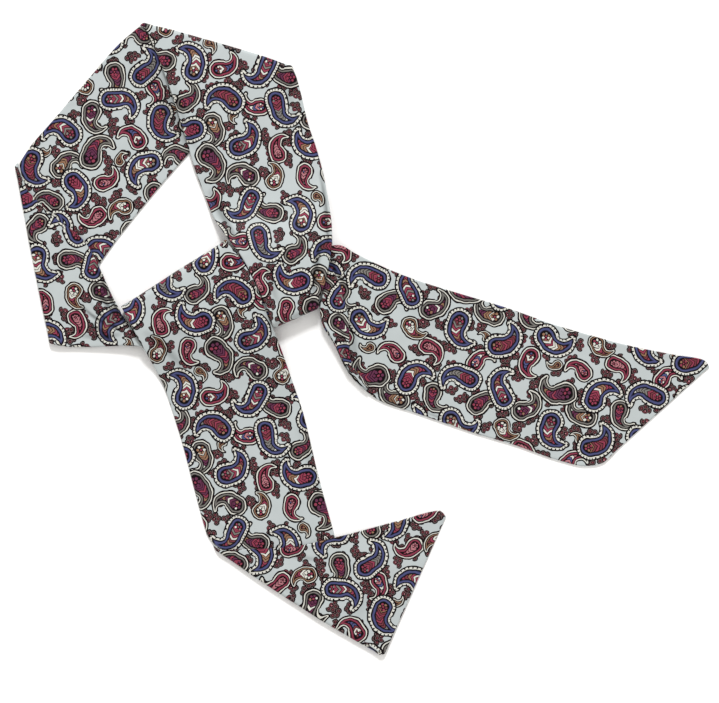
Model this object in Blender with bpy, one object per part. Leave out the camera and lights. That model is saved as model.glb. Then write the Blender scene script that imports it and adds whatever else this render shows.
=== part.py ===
"""A skinny scarf: a pressed tube of printed cloth with slanted ends, tied in one half knot
with a loop to the upper left, and laid flat on a table.

The scarf is built as the stretches that show, in the order they run along the cloth. Each
stretch is lofted through rulings: straight lines from its left edge to its right edge, as seen
by someone travelling along it with its outer face up. Where the scarf turns back on itself the
rulings go round a roll that lies along the fold. All sizes are in millimetres until a mesh is
made. +X runs to the right, +Y away from the wearer and +Z up from the table, and the origin is
the middle of the scarf's footprint, on the table.
"""

from collections import namedtuple

import bpy
import numpy as np

MM = 0.001

# Driving sizes
CLOTH = 1.5  # thickness of the pressed tube, both plies
GAP = 0.3  # between one stretch and the next
LAYER = CLOTH + GAP  # one stretch lying on another
FLAT = CLOTH / 2  # middle of a stretch that lies on the table
OVER = FLAT + LAYER  # middle of a stretch that lies on that one
PUFF = 2.8  # middle of a stretch where it goes into a soft fold
KNOT = 9.7  # middle of the cloth that passes over the knot

# How finely the stretches are divided
ROW_PITCH = 9.0  # most space between two rulings on a straight run
FOLD_ROWS = 6  # rulings round a fold
EDGE_ANGLES = np.radians((-90, -45, 0, 45, 90))  # points round a rolled edge
SPAN_SHARES = (0.25, 0.5, 0.75)  # points between the rolled edges
SHARP_ANGLE = np.radians(50)  # edges that turn more than this are shaded sharp

CLOTH_COLOUR = (0.56, 0.66, 0.64, 1.0)
CLOTH_ROUGHNESS = 0.45

# A ruling: both ends, and how far the middle of the cloth stands above the straight line.
Ruling = namedtuple("Ruling", "lx ly lz rx ry rz crown")

# A fold line at the outermost reach of its roll, the cloth's height at each end of it on the
# side that is left and on the side that is met, the roll's reach, how far it bows out further
# in the middle, and how far each end slides back along the line on either side of the roll,
# where the band crosses the line aslant.
Fold = namedtuple("Fold", "lx ly rx ry from_l from_r to_l to_r bulge bow slide_l slide_r")

END_FOLD = Fold(10.2, -177.2, -81.9, -118.4, PUFF, PUFF, FLAT, FLAT, 2.0, 1.6, 0.0, -2.8)
LOOP_BOTTOM_FOLD = Fold(-134.6, 18.3, -76.0, 55.6, 8.9, KNOT, FLAT, FLAT, 4.4, 0.2, 0.0, 0.0)
KNOT_FOLD = Fold(-49.0, 6.0, -24.9, 16.7, FLAT, FLAT, KNOT, KNOT, 4.4, 0.3, 0.0, -2.5)
LOOP_TOP_FOLD = Fold(-122.4, 177.2, -39.6, 153.2, PUFF, PUFF, FLAT, FLAT, 2.0, 1.2, 1.5, 1.8)
LOOP_LEFT_FOLD = Fold(-194.6, 97.0, -175.1, -2.2, FLAT, FLAT, PUFF, PUFF, 2.0, 0.6, -1.3, -1.1)

# The short end, from its slanted cut to the fold that turns it up over the tail
TURNED_END = (
    Ruling(13.6, -174.2, 1.7, 47.0, -99.8, FLAT, 0.0),
    Ruling(12.4, -176.2, 1.8, 44.0, -96.2, FLAT, 0.0),
    Ruling(12.0, -176.5, 2.1, 20.0, -102.0, FLAT, 0.2),
    Ruling(11.7, -176.6, 2.4, 2.0, -106.8, 1.5, 0.4),
    Ruling(11.4, -176.6, 2.6, -12.0, -110.3, OVER, 0.2),
    Ruling(11.1, -176.4, 2.7, -44.0, -116.8, OVER, 0.1),
    Ruling(10.8, -176.2, PUFF, -71.0, -117.8, PUFF, 0.1),
)

# The tail from that fold up to the knot
TAIL_DOWN = (
    Ruling(-83.7, -114.2, FLAT, 1.2, -168.3, FLAT, 0.0),
    Ruling(-86.8, -109.6, FLAT, -7.0, -141.0, FLAT, 0.0),
    Ruling(-89.2, -102.0, FLAT, -15.1, -111.0, FLAT, 0.0),
    Ruling(-94.6, -81.8, FLAT, -24.4, -77.0, FLAT, 0.1),
    Ruling(-100.8, -58.2, FLAT, -33.0, -41.4, FLAT, 0.3),
    Ruling(-105.6, -42.6, FLAT, -39.2, -23.0, 2.2, 0.5),
    Ruling(-110.9, -26.9, 1.1, -46.2, -2.6, 6.2, 0.9),
    Ruling(-116.0, -16.2, 2.8, -52.6, 13.0, 9.0, 1.0),
    Ruling(-123.0, -3.2, 7.3, -60.6, 33.2, KNOT, 0.6),
    Ruling(-128.4, 7.4, 8.6, -67.2, 44.4, KNOT, 0.4),
)

# The right side of the loop, from the knot up to the fold at the top
BAND_RIGHT = (
    Ruling(-52.0, 15.0, KNOT, -23.2, 23.6, KNOT, 0.3),
    Ruling(-56.8, 26.2, KNOT, -20.4, 32.0, KNOT, 0.6),
    Ruling(-62.4, 37.6, KNOT, -18.2, 42.6, 9.4, 0.6),
    Ruling(-69.0, 48.6, KNOT, -16.6, 54.0, 8.8, 0.3),
    Ruling(-76.6, 58.4, 7.6, -16.8, 62.6, 7.8, 0.2),
    Ruling(-83.2, 68.4, 3.4, -17.8, 71.6, 6.4, 0.4),
    Ruling(-88.4, 81.0, 1.6, -19.6, 82.0, 4.6, 0.4),
    Ruling(-94.2, 97.0, 2.3, -21.8, 93.0, 2.9, 0.2),
    Ruling(-97.6, 109.0, 2.8, -25.4, 106.4, 1.9, 0.2),
    Ruling(-101.4, 121.4, 2.8, -30.4, 121.4, 1.9, 0.2),
    Ruling(-106.2, 136.4, 2.7, -34.4, 138.4, 2.3, 0.2),
    Ruling(-113.2, 155.8, 2.8, -36.6, 146.4, 2.7, 0.1),
)

# The left side of the loop, lying on the table from the top fold to the left fold
BAND_LEFT_UPPER = (
    Ruling(-42.9, 151.1, FLAT, -124.9, 175.1, FLAT, 0.0),
    Ruling(-70.0, 134.0, FLAT, -137.2, 164.4, FLAT, 0.0),
    Ruling(-96.6, 104.6, FLAT, -149.8, 150.0, FLAT, 0.0),
    Ruling(-122.6, 74.4, FLAT, -173.2, 122.6, FLAT, 0.0),
    Ruling(-146.0, 43.6, FLAT, -186.0, 107.8, FLAT, 0.0),
    Ruling(-172.4, -1.7, FLAT, -192.0, 98.6, FLAT, 0.0),
)

# The same band turned back over itself, gathered towards the knot and going in under the tail
BAND_LEFT_LOWER = (
    Ruling(-187.4, 83.2, PUFF, -170.4, -3.6, PUFF, 0.3),
    Ruling(-172.0, 68.0, 2.7, -160.4, -4.6, 1.95, 0.7),
    Ruling(-156.6, 56.2, 2.7, -149.6, -4.4, 2.4, 0.8),
    Ruling(-148.2, 42.6, 2.9, -141.0, -4.1, 3.0, 0.7),
    Ruling(-141.6, 28.2, 3.2, -132.6, -3.7, 3.9, 0.5),
    Ruling(-136.2, 16.2, 3.8, -124.6, -4.2, 4.7, 0.3),
    Ruling(-130.0, 7.4, 4.4, -119.6, -4.6, 5.0, 0.1),
)

# The long tail, from the knot to its slanted cut
TAIL_RIGHT = (
    Ruling(-21.8, 51.6, 4.2, -24.6, 22.6, 4.2, 0.2),
    Ruling(-13.4, 52.6, 3.8, -22.6, 9.6, 4.0, 0.4),
    Ruling(-3.6, 47.8, 3.0, -15.3, -3.6, 3.3, 0.6),
    Ruling(8.4, 42.0, 2.1, -8.4, -17.8, 2.5, 0.6),
    Ruling(22.0, 36.2, 1.3, 0.4, -27.6, 1.6, 0.5),
    Ruling(36.0, 31.2, FLAT, 11.2, -35.2, FLAT, 0.3),
    Ruling(55.0, 25.4, FLAT, 30.0, -41.4, FLAT, 0.1),
    Ruling(82.0, 17.2, FLAT, 60.2, -51.8, FLAT, 0.0),
    Ruling(108.0, 8.0, FLAT, 86.0, -59.6, FLAT, 0.0),
    Ruling(132.0, 1.0, FLAT, 109.0, -67.6, FLAT, 0.0),
    Ruling(152.0, -4.2, FLAT, 124.0, -71.2, FLAT, 0.0),
    Ruling(174.0, -8.6, FLAT, 129.6, -71.0, FLAT, 0.0),
    Ruling(191.8, -11.8, FLAT, 135.4, -69.2, FLAT, 0.0),
    Ruling(194.8, -15.6, FLAT, 138.6, -66.0, FLAT, 0.0),
)

# Where the free edge of the pleat at the long tail's root lies on it: the ruling, counted from
# the first, and the share across. The pleat's other edge keeps one share.
Free = namedtuple("Free", "ruling share")
PLEAT_FREE_EDGE = (
    Free(0.5, 0.30),
    Free(1.0, 0.33),
    Free(1.5, 0.40),
    Free(2.0, 0.52),
    Free(2.4, 0.63),
    Free(2.8, 0.83),
    Free(3.2, 0.93),
    Free(4.2, 0.94),
)
PLEAT_RIGHT_SHARE = 0.985
PLEAT_ROWS = 14

# The layers inside the knot, from the left to the root of the right tail: the near and far
# bottom corners and the height of the top above each
Heap = namedtuple("Heap", "near_x near_y far_x far_y near_top far_top")
KNOT_HEAP = (
    Heap(-118.6, -4.4, -128.2, 8.4, 4.6, 5.3),
    Heap(-110.0, -2.4, -116.4, 20.0, 4.8, 6.5),
    Heap(-95.0, 1.4, -98.2, 32.8, 5.9, 7.4),
    Heap(-75.0, 5.8, -80.0, 44.4, 6.8, 7.9),
    Heap(-56.0, 9.8, -64.4, 51.0, 7.7, 8.2),
    Heap(-41.0, 15.4, -46.0, 52.0, 8.1, 8.3),
    Heap(-25.4, 23.4, -22.6, 50.8, 7.9, 7.5),
)
HEAP_LAYERS = 4  # folded layers that show at its sides
HEAP_GROOVE = 0.5  # how deep the grooves between them go
HEAP_SHOULDER = 1.0  # how far the top layer's edge is set in


def clear_scene():
    """Removes whatever the file opened with."""
    for old in list(bpy.data.objects):
        bpy.data.objects.remove(old, do_unlink=True)


def cloth_material(name):
    """Printed satin twill in its mean colour."""
    made = bpy.data.materials.new(name)
    made.use_nodes = True
    shader = made.node_tree.nodes["Principled BSDF"]
    shader.inputs["Base Color"].default_value = CLOTH_COLOUR
    shader.inputs["Roughness"].default_value = CLOTH_ROUGHNESS
    shader.inputs["Metallic"].default_value = 0.0
    return made


def solid(name, points, faces):
    """One closed mesh object from points in millimetres."""
    mesh = bpy.data.meshes.new(name)
    mesh.from_pydata((np.asarray(points) * MM).tolist(), [], faces)
    mesh.validate()
    mesh.shade_smooth()
    mesh.set_sharp_from_angle(angle=SHARP_ANGLE)
    piece = bpy.data.objects.new(name, mesh)
    piece.data.materials.append(cloth_material(name + "_cloth"))
    bpy.context.scene.collection.objects.link(piece)
    return piece


def slopes(values, places):
    """Slopes for a cubic that never passes the values it joins: the harmonic mean of the
    slopes on both sides, or none where they differ in sign."""
    step = np.diff(places)[:, None]
    rise = np.diff(values, axis=0) / step
    before, after = rise[:-1], rise[1:]
    same = before * after > 0
    total = np.where(same, before + after, 1.0)
    middle = np.where(same, 2 * before * after / total, 0.0)
    return np.vstack((rise[:1], middle, rise[-1:]))


def smooth(table, pitch):
    """Rulings at an even pitch or closer on smooth curves through the table's rows."""
    rows = np.array(table, dtype=float)
    middles = (rows[:, 0:3] + rows[:, 3:6]) / 2
    spans = np.linalg.norm(np.diff(middles, axis=0), axis=1)
    places = np.concatenate(([0.0], np.cumsum(spans)))
    slope = slopes(rows, places)
    parts = np.maximum(1, np.ceil(spans / pitch)).astype(int)
    made = []
    for i, count in enumerate(parts):
        share = (np.arange(count) / count)[:, None]
        rest = 1 - share
        made.append(
            rows[i] * (1 + 2 * share) * rest**2
            + rows[i + 1] * (3 - 2 * share) * share**2
            + spans[i] * (slope[i] * share * rest**2 - slope[i + 1] * rest * share**2)
        )
    made.append(rows[-1:])
    return np.vstack(made)


def round_fold(fold, into=True):
    """Rulings round half an ellipse along the fold line, from the height that is left to the
    height that is met. The cloth comes into the fold from the left of the line's run when
    into is true, and otherwise starts in it."""
    left = np.array((fold.lx, fold.ly))
    right = np.array((fold.rx, fold.ry))
    along = (right - left) / np.linalg.norm(right - left)
    outward = np.array((-along[1], along[0])) * (1 if into else -1)
    angle = np.linspace(0, np.pi, FOLD_ROWS)[:, None]
    reach = fold.bulge - CLOTH / 2
    out = reach * np.sin(angle) - fold.bulge
    fall = (1 - np.cos(angle)) / 2
    left_xy = left + outward * out + along * fold.slide_l * np.cos(angle)
    right_xy = right + outward * out + along * fold.slide_r * np.cos(angle)
    left_z = fold.from_l + (fold.to_l - fold.from_l) * fall
    right_z = fold.from_r + (fold.to_r - fold.from_r) * fall
    return np.hstack((left_xy, left_z, right_xy, right_z, fold.bow * np.sin(angle) ** 3))


def arch(crown, share):
    """How far the cloth stands above its ruling at a share across: a parabola, nought at both
    edges and the crown in the middle."""
    return crown * 4 * share * (1 - share)


def section(rulings):
    """Points of the pressed tube's outline at each ruling: half rounds at both edges, and the
    two plies half the thickness above and below the middle surface."""
    left, right, crown = rulings[:, 0:3], rulings[:, 3:6], rulings[:, 6]
    width = np.linalg.norm(right - left, axis=1)
    across = (right - left) / width[:, None]
    run_left = np.gradient(left, axis=0)
    run_right = np.gradient(right, axis=0)
    half = CLOTH / 2

    def at(share, side, lift):
        """A point at a share of the width, moved out past the edge and up off the middle."""
        share = np.broadcast_to(share, width.shape)[:, None]
        run = run_left * (1 - share) + run_right * share
        up = np.cross(across, run)
        up /= np.linalg.norm(up, axis=1)[:, None]
        raised = arch(crown[:, None], share) + lift
        return left + (right - left) * share + across * side + up * raised

    edge = half / width
    ring = []
    for angle in EDGE_ANGLES:
        ring.append(at(edge, -half * np.cos(angle), half * np.sin(angle)))
    for share in SPAN_SHARES:
        ring.append(at(share, 0.0, half))
    for angle in EDGE_ANGLES[::-1]:
        ring.append(at(1 - edge, half * np.cos(angle), half * np.sin(angle)))
    for share in SPAN_SHARES[::-1]:
        ring.append(at(share, 0.0, -half))
    return np.stack(ring, axis=1)


def loft(name, rings, up, down):
    """A closed solid through rings of points. Its ends are closed by strips across the ring:
    one side of them runs forward from the point numbered up, the other back from down, and
    where both start at one point the first and the last strip are triangles."""
    rows, count = rings.shape[:2]
    faces = []
    for near in range(0, (rows - 1) * count, count):
        far = near + count
        for j in range(count):
            k = (j + 1) % count
            faces.append((near + j, near + k, far + k, far + j))
    last = (rows - 1) * count
    for j in range((count - up + down) // 2):
        corners = [place % count for place in (up + j, up + j + 1, down - j - 1, down - j)]
        corners = tuple(dict.fromkeys(corners))
        faces.append(corners[::-1])
        faces.append(tuple(last + corner for corner in corners))
    return solid(name, rings.reshape(-1, 3), faces)


def stretch(name, rulings):
    """One stretch of the scarf as a closed wall, whose ends close across the tube from the
    middle of one rolled edge to the middle of the other."""
    middle = len(EDGE_ANGLES) // 2
    return loft(name, section(rulings), middle, middle)


def pleat(name, rulings_table):
    """The pleat at the root of the right tail, made from that tail's own surface moved out by
    one layer."""
    rows = np.array(rulings_table, dtype=float)
    edge = np.array(PLEAT_FREE_EDGE)
    places = np.linspace(edge[0, 0], edge[-1, 0], PLEAT_ROWS)
    rulings = np.stack([np.interp(places, np.arange(len(rows)), c) for c in rows.T], axis=1)
    left, right, crown = rulings[:, 0:3], rulings[:, 3:6], rulings[:, 6]
    free = np.interp(places, edge[:, 0], edge[:, 1])

    def lifted(share):
        share = np.broadcast_to(share, free.shape)
        place = left + (right - left) * share[:, None]
        place[:, 2] += arch(crown, share) + LAYER + GAP
        return place

    table = np.hstack((lifted(free), lifted(PLEAT_RIGHT_SHARE), np.zeros((PLEAT_ROWS, 1))))
    return stretch(name, table)


def heap(name, table):
    """The hidden layers in the knot as one rounded solid, grooved between its layers. Each
    ring goes up the far side, over the top and down the near side."""
    rows = np.array(table, dtype=float)
    near, far = rows[:, 0:2], rows[:, 2:4]
    near_top, far_top = rows[:, 4:5], rows[:, 5:6]
    across = (far - near) / np.linalg.norm(far - near, axis=1)[:, None]
    levels = []
    for layer in range(HEAP_LAYERS):
        levels.append((layer / HEAP_LAYERS, HEAP_GROOVE))
        levels.append(((layer + 0.5) / HEAP_LAYERS, 0.0))
    levels.append((1.0, HEAP_SHOULDER))
    far_side = [np.hstack((far - across * inset, far_top * share)) for share, inset in levels]
    near_side = [np.hstack((near + across * inset, near_top * share)) for share, inset in levels]
    rings = np.stack(far_side + near_side[::-1], axis=1)
    return loft(name, rings, 0, -1)


def main():
    clear_scene()
    end = np.vstack((smooth(TURNED_END, ROW_PITCH), round_fold(END_FOLD)))
    stretch("tail_end_turned", end)
    down = np.vstack((smooth(TAIL_DOWN, ROW_PITCH), round_fold(LOOP_BOTTOM_FOLD)))
    stretch("tail_down", down)
    right = np.vstack(
        (
            round_fold(KNOT_FOLD, into=False),
            smooth(BAND_RIGHT, ROW_PITCH),
            round_fold(LOOP_TOP_FOLD),
        )
    )
    stretch("band_right", right)
    stretch("band_left_upper", smooth(BAND_LEFT_UPPER, ROW_PITCH))
    lower = np.vstack(
        (round_fold(LOOP_LEFT_FOLD, into=False), smooth(BAND_LEFT_LOWER, ROW_PITCH))
    )
    stretch("band_left_lower", lower)
    stretch("tail_right", smooth(TAIL_RIGHT, ROW_PITCH))
    pleat("tail_right_pleat", TAIL_RIGHT)
    heap("knot_core", KNOT_HEAP)


main()
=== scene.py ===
"""A skinny scarf of printed silk twill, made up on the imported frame.

The scarf is a pressed tube with slanted ends, tied in one half knot and laid flat on a table.
Each stretch that shows is one piece of cloth on its own solid's form: a tube with an outer and
an inner skin, carried along straight lines (rulings) from its left edge to its right edge, as
seen by someone travelling along it with its outer face up. Tables are in millimetres in the
frame's own axes, and the origin is the middle of the scarf's footprint, on the table.
"""

from collections import namedtuple

import bmesh
import bpy
import numpy as np
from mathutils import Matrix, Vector


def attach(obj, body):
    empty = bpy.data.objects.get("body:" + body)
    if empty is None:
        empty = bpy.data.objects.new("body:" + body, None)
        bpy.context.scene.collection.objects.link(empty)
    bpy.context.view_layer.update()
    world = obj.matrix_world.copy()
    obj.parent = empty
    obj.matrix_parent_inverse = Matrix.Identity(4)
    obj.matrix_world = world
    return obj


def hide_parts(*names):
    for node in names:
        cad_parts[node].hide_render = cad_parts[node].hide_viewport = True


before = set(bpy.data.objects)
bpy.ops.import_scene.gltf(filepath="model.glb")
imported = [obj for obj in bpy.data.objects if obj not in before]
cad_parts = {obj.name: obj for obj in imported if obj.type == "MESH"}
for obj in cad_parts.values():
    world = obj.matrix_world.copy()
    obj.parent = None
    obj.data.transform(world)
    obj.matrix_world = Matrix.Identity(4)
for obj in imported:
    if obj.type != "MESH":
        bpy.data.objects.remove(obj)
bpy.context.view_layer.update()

bl_info = {
    "name": "Skinny Scarf",
    "version": (1, 0, 0),
    "blender": (4, 5, 0),
    "location": "3D View > Sidebar > Scarf",
    "description": "Makes a skinny scarf of paisley silk twill, knotted and laid flat",
    "category": "Object",
}

MM = 0.001
BODY = "root"
PRINT_MAP = "Cloth"  # the map of the cloth's own coordinates
CREASE_SHADE_ATTRIBUTE = "Crease"  # the attribute that carries painted shade for tight creases: how far a point turns in there, from nought to one
WELD = 2e-6  # metres: points nearer than this are made one

TUBE = 1.5  # thickness of the pressed tube in the frame
CUT_WIDTH = 140.0  # the strip's width between its seam lines, both plies of the tube
GAP = 0.3  # between one stretch and the next
LAYER = TUBE + GAP
FLAT = TUBE / 2  # middle of a stretch that lies on the table
OVER = FLAT + LAYER  # middle of a stretch that lies on that one
PUFF = 2.8  # middle of a stretch where it goes into a soft fold
KNOT = 9.7  # middle of the cloth that passes over the knot

# A ruling: both ends, and how far the middle of the cloth stands above the straight line.
Ruling = namedtuple("Ruling", "lx ly lz rx ry rz crown")

# A fold line at the outermost reach of its roll, the cloth's height at each end of it on the
# side that is left and on the side that is met, the roll's reach, how far it bows out further
# in the middle, and how far each end slides back along the line on either side of the roll,
# where the band crosses the line aslant.
Fold = namedtuple("Fold", "lx ly rx ry from_l from_r to_l to_r bulge bow slide_l slide_r")
FOLD_ROWS = 22  # rulings round each roll

END_FOLD = Fold(10.2, -177.2, -81.9, -118.4, PUFF, PUFF, FLAT, FLAT, 2.0, 1.6, 0.0, -2.8)
LOOP_BOTTOM_FOLD = Fold(-134.6, 18.3, -76.0, 55.6, 8.9, KNOT, FLAT, FLAT, 4.4, 0.2, 0.0, 0.0)
KNOT_FOLD = Fold(-49.0, 6.0, -24.9, 16.7, FLAT, FLAT, KNOT, KNOT, 4.4, 0.3, 0.0, -2.5)
LOOP_TOP_FOLD = Fold(-122.4, 177.2, -39.6, 153.2, PUFF, PUFF, FLAT, FLAT, 2.0, 1.2, 1.5, 1.8)
LOOP_LEFT_FOLD = Fold(-194.6, 97.0, -175.1, -2.2, FLAT, FLAT, PUFF, PUFF, 2.0, 0.6, -1.3, -1.1)

# The short end, from its slanted cut to the fold that turns it up over the tail
TURNED_END = (
    Ruling(13.6, -174.2, 1.7, 47.0, -99.8, FLAT, 0.0),
    Ruling(12.4, -176.2, 1.8, 44.0, -96.2, FLAT, 0.0),
    Ruling(12.0, -176.5, 2.1, 20.0, -102.0, FLAT, 0.2),
    Ruling(11.7, -176.6, 2.4, 2.0, -106.8, 1.5, 0.4),
    Ruling(11.4, -176.6, 2.6, -12.0, -110.3, OVER, 0.2),
    Ruling(11.1, -176.4, 2.7, -44.0, -116.8, OVER, 0.1),
    Ruling(10.8, -176.2, PUFF, -71.0, -117.8, PUFF, 0.1),
)

# The tail from that fold up to the knot
TAIL_DOWN = (
    Ruling(-83.7, -114.2, FLAT, 1.2, -168.3, FLAT, 0.0),
    Ruling(-86.8, -109.6, FLAT, -7.0, -141.0, FLAT, 0.0),
    Ruling(-89.2, -102.0, FLAT, -15.1, -111.0, FLAT, 0.0),
    Ruling(-94.6, -81.8, FLAT, -24.4, -77.0, FLAT, 0.1),
    Ruling(-100.8, -58.2, FLAT, -33.0, -41.4, FLAT, 0.3),
    Ruling(-105.6, -42.6, FLAT, -39.2, -23.0, 2.2, 0.5),
    Ruling(-110.9, -26.9, 1.1, -46.2, -2.6, 6.2, 0.9),
    Ruling(-116.0, -16.2, 2.8, -52.6, 13.0, 9.0, 1.0),
    Ruling(-123.0, -3.2, 7.3, -60.6, 33.2, KNOT, 0.6),
    Ruling(-128.4, 7.4, 8.6, -67.2, 44.4, KNOT, 0.4),
)

# The right side of the loop, from the knot up to the fold at the top
BAND_RIGHT = (
    Ruling(-52.0, 15.0, KNOT, -23.2, 23.6, KNOT, 0.3),
    Ruling(-56.8, 26.2, KNOT, -20.4, 32.0, KNOT, 0.6),
    Ruling(-62.4, 37.6, KNOT, -18.2, 42.6, 9.4, 0.6),
    Ruling(-69.0, 48.6, KNOT, -16.6, 54.0, 8.8, 0.3),
    Ruling(-76.6, 58.4, 7.6, -16.8, 62.6, 7.8, 0.2),
    Ruling(-83.2, 68.4, 3.4, -17.8, 71.6, 6.4, 0.4),
    Ruling(-88.4, 81.0, 1.6, -19.6, 82.0, 4.6, 0.4),
    Ruling(-94.2, 97.0, 2.3, -21.8, 93.0, 2.9, 0.2),
    Ruling(-97.6, 109.0, 2.8, -25.4, 106.4, 1.9, 0.2),
    Ruling(-101.4, 121.4, 2.8, -30.4, 121.4, 1.9, 0.2),
    Ruling(-106.2, 136.4, 2.7, -34.4, 138.4, 2.3, 0.2),
    Ruling(-113.2, 155.8, 2.8, -36.6, 146.4, 2.7, 0.1),
)

# The left side of the loop, lying on the table from the top fold to the left fold
BAND_LEFT_UPPER = (
    Ruling(-42.9, 151.1, FLAT, -124.9, 175.1, FLAT, 0.0),
    Ruling(-70.0, 134.0, FLAT, -137.2, 164.4, FLAT, 0.0),
    Ruling(-96.6, 104.6, FLAT, -149.8, 150.0, FLAT, 0.0),
    Ruling(-122.6, 74.4, FLAT, -173.2, 122.6, FLAT, 0.0),
    Ruling(-146.0, 43.6, FLAT, -186.0, 107.8, FLAT, 0.0),
    Ruling(-172.4, -1.7, FLAT, -192.0, 98.6, FLAT, 0.0),
)

# The same band turned back over itself, gathered towards the knot and going in under the tail
BAND_LEFT_LOWER = (
    Ruling(-187.4, 83.2, PUFF, -170.4, -3.6, PUFF, 0.3),
    Ruling(-172.0, 68.0, 2.7, -160.4, -4.6, 1.95, 0.7),
    Ruling(-156.6, 56.2, 2.7, -149.6, -4.4, 2.4, 0.8),
    Ruling(-148.2, 42.6, 2.9, -141.0, -4.1, 3.0, 0.7),
    Ruling(-141.6, 28.2, 3.2, -132.6, -3.7, 3.9, 0.5),
    Ruling(-136.2, 16.2, 3.8, -124.6, -4.2, 4.7, 0.3),
    Ruling(-130.0, 7.4, 4.4, -119.6, -4.6, 5.0, 0.1),
)

# The long tail, from the knot to its slanted cut
TAIL_RIGHT = (
    Ruling(-21.8, 51.6, 4.2, -24.6, 22.6, 4.2, 0.2),
    Ruling(-13.4, 52.6, 3.8, -22.6, 9.6, 4.0, 0.4),
    Ruling(-3.6, 47.8, 3.0, -15.3, -3.6, 3.3, 0.6),
    Ruling(8.4, 42.0, 2.1, -8.4, -17.8, 2.5, 0.6),
    Ruling(22.0, 36.2, 1.3, 0.4, -27.6, 1.6, 0.5),
    Ruling(36.0, 31.2, FLAT, 11.2, -35.2, FLAT, 0.3),
    Ruling(55.0, 25.4, FLAT, 30.0, -41.4, FLAT, 0.1),
    Ruling(82.0, 17.2, FLAT, 60.2, -51.8, FLAT, 0.0),
    Ruling(108.0, 8.0, FLAT, 86.0, -59.6, FLAT, 0.0),
    Ruling(132.0, 1.0, FLAT, 109.0, -67.6, FLAT, 0.0),
    Ruling(152.0, -4.2, FLAT, 124.0, -71.2, FLAT, 0.0),
    Ruling(174.0, -8.6, FLAT, 129.6, -71.0, FLAT, 0.0),
    Ruling(191.8, -11.8, FLAT, 135.4, -69.2, FLAT, 0.0),
    Ruling(194.8, -15.6, FLAT, 138.6, -66.0, FLAT, 0.0),
)

# The free edge of the pleat at the long tail's root: the tail's ruling, counted from its first,
# and the share across it. Its other edge keeps one share.
Free = namedtuple("Free", "ruling share")
PLEAT_FREE_EDGE = (
    Free(0.5, 0.30),
    Free(1.0, 0.33),
    Free(1.5, 0.40),
    Free(2.0, 0.52),
    Free(2.4, 0.63),
    Free(2.8, 0.83),
    Free(3.2, 0.93),
    Free(4.2, 0.94),
)
PLEAT_RIGHT_SHARE = 0.985
PLEAT_RUN = 60.0  # how far it runs, which gives its number of rulings

# The layers inside the knot, from the left to the root of the right tail: the near and far
# bottom corners and the height of the top above each
Heap = namedtuple("Heap", "near_x near_y far_x far_y near_top far_top")
KNOT_HEAP = (
    Heap(-118.6, -4.4, -128.2, 8.4, 4.6, 5.3),
    Heap(-110.0, -2.4, -116.4, 20.0, 4.8, 6.5),
    Heap(-95.0, 1.4, -98.2, 32.8, 5.9, 7.4),
    Heap(-75.0, 5.8, -80.0, 44.4, 6.8, 7.9),
    Heap(-56.0, 9.8, -64.4, 51.0, 7.7, 8.2),
    Heap(-41.0, 15.4, -46.0, 52.0, 8.1, 8.3),
    Heap(-25.4, 23.4, -22.6, 50.8, 7.9, 7.5),
)
HEAP_LAYERS = 4  # folded layers that show at its sides
HEAP_GROOVE = 0.7  # how deep the grooves between them go
HEAP_ROWS = 90  # rings along it
HEAP_SIDE = 8  # points up each layer's side
HEAP_ACROSS = 24  # points over the top

# A crease or soft ridge on a stretch's upper ply: its ends, how far it bows to the left of the
# way it runs, its half width, its height (below nought for a trough), and how much steeper its
# left side is.
Crease = namedtuple("Crease", "from_x from_y to_x to_y bow width height steep")
CREASE_FADE = 0.6  # power of the half sine by which it fades along its length
TIGHT = 1.3  # a trough no wider than this gets painted shade by its whole depth, and a wider one less

# The lower ply is flat up to OVER. Above that it takes ever more of the upper ply's shape, and
# this share of it at one KNOT further up.
CLEAR_SHARE = 0.8

# Columns round the pressed tube, from the left edge's foot: the share across between the two
# rolls' middles, how far a roll goes out and up in radii, the angle turned round it, and the ply,
# which is 1 for the upper, -1 for the lower and 0 round a roll
Columns = namedtuple("Columns", "across out lift turned ply")
ROLL_POINTS = 9  # round each rolled edge

# A sewn end: how deep its quarter round is, its rulings, how many depths in the full ones start,
# and how far the inner skin's closing ruling and its others are drawn in towards those
Sewn = namedtuple("Sewn", "depth rows clear closing others")
SEWN = Sewn(1.3, 6, 1.4, 0.4, 0.2)

# How far in from a rolled edge the tube is pressed thin, the swells and ripples come to their
# full height, and the ripples die away again
PRESSED_IN = 3.2
SWELLS_IN = 4.0
RIPPLES_IN = 2.0
RIPPLES_OUT = 4.5

# The ripples: how far the cloth runs for a radian of their wave, of its wavering and of its
# coming and going, how far it wavers in radians, and the share of it that comes and goes
Ripple = namedtuple("Ripple", "run waver_run fade_run waver fade")
RIPPLE = Ripple(1.15, 4.3, 6.9, 1.4, 0.4)

# The slow swells of pressed silk: waves per metre to the right and away, turn and share
Swell = namedtuple("Swell", "right away turn share")
SWELLS = (
    Swell(21.0, 9.0, 0.3, 1.0),
    Swell(-13.0, 27.0, 1.9, 0.8),
    Swell(36.0, -22.0, 4.1, 0.5),
    Swell(8.0, -47.0, 2.7, 0.45),
    Swell(55.0, 31.0, 5.2, 0.3),
)
SWELL_USUAL = 1.6  # what the waves often come to together, which counts as the full height

# ---------------------------------------------------------------- the print

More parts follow.
